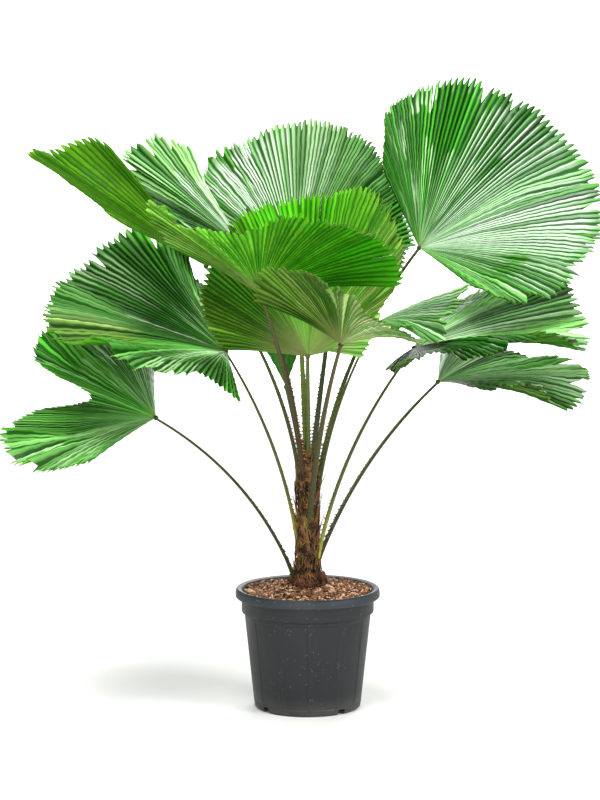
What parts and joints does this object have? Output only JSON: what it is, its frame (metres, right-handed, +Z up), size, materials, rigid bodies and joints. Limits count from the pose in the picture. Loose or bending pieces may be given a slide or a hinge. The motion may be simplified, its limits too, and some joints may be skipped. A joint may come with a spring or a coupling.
{
  "type": "potted ruffled fan palm",
  "caption": "Ruffled fan palm in a round tapered nursery pot: a short fibrous trunk and a full crown of pleated round fans on long arching petioles.",
  "frame": {"origin": "centre of the pot's flat underside, on the surface it stands on", "axes": "+Z up along the trunk, -Y towards the viewer of the picture, +X to that viewer's right"},
  "size_m": [1.3839, 1.1186, 1.4728],
  "materials": {
    "pot": "dark charcoal moulded plastic with small pale specks",
    "soil": "loose reddish-brown bark chips and peat",
    "trunk": "dark brown woven leaf-base fibre",
    "petiole": "smooth olive-green stalk with small dark spines",
    "blade": "glossy green pleated leaf, paler underneath"
  },
  "bodies": {
    "root": {"pot": "pot", "soil": "soil", "trunk": "trunk", "petiole_right_top": "petiole", "blade_right_top": "blade", "petiole_back_middle": "petiole", "blade_back_middle": "blade", "petiole_front_left": "petiole", "blade_front_left": "blade", "petiole_front_middle": "petiole", "blade_front_middle": "blade", "petiole_middle": "petiole", "blade_middle": "blade", "petiole_left_top": "petiole", "blade_left_top": "blade", "petiole_left_low": "petiole", "blade_left_low": "blade", "petiole_left_middle": "petiole", "blade_left_middle": "blade", "petiole_left_back": "petiole", "blade_left_back": "blade", "petiole_left_inner": "petiole", "blade_left_inner": "blade", "petiole_right_back": "petiole", "blade_right_back": "blade", "petiole_right_inner": "petiole", "blade_right_inner": "blade", "petiole_right_low": "petiole", "blade_right_low": "blade", "petiole_right_lower": "petiole", "blade_right_lower": "blade"}
  },
  "joints": []
}
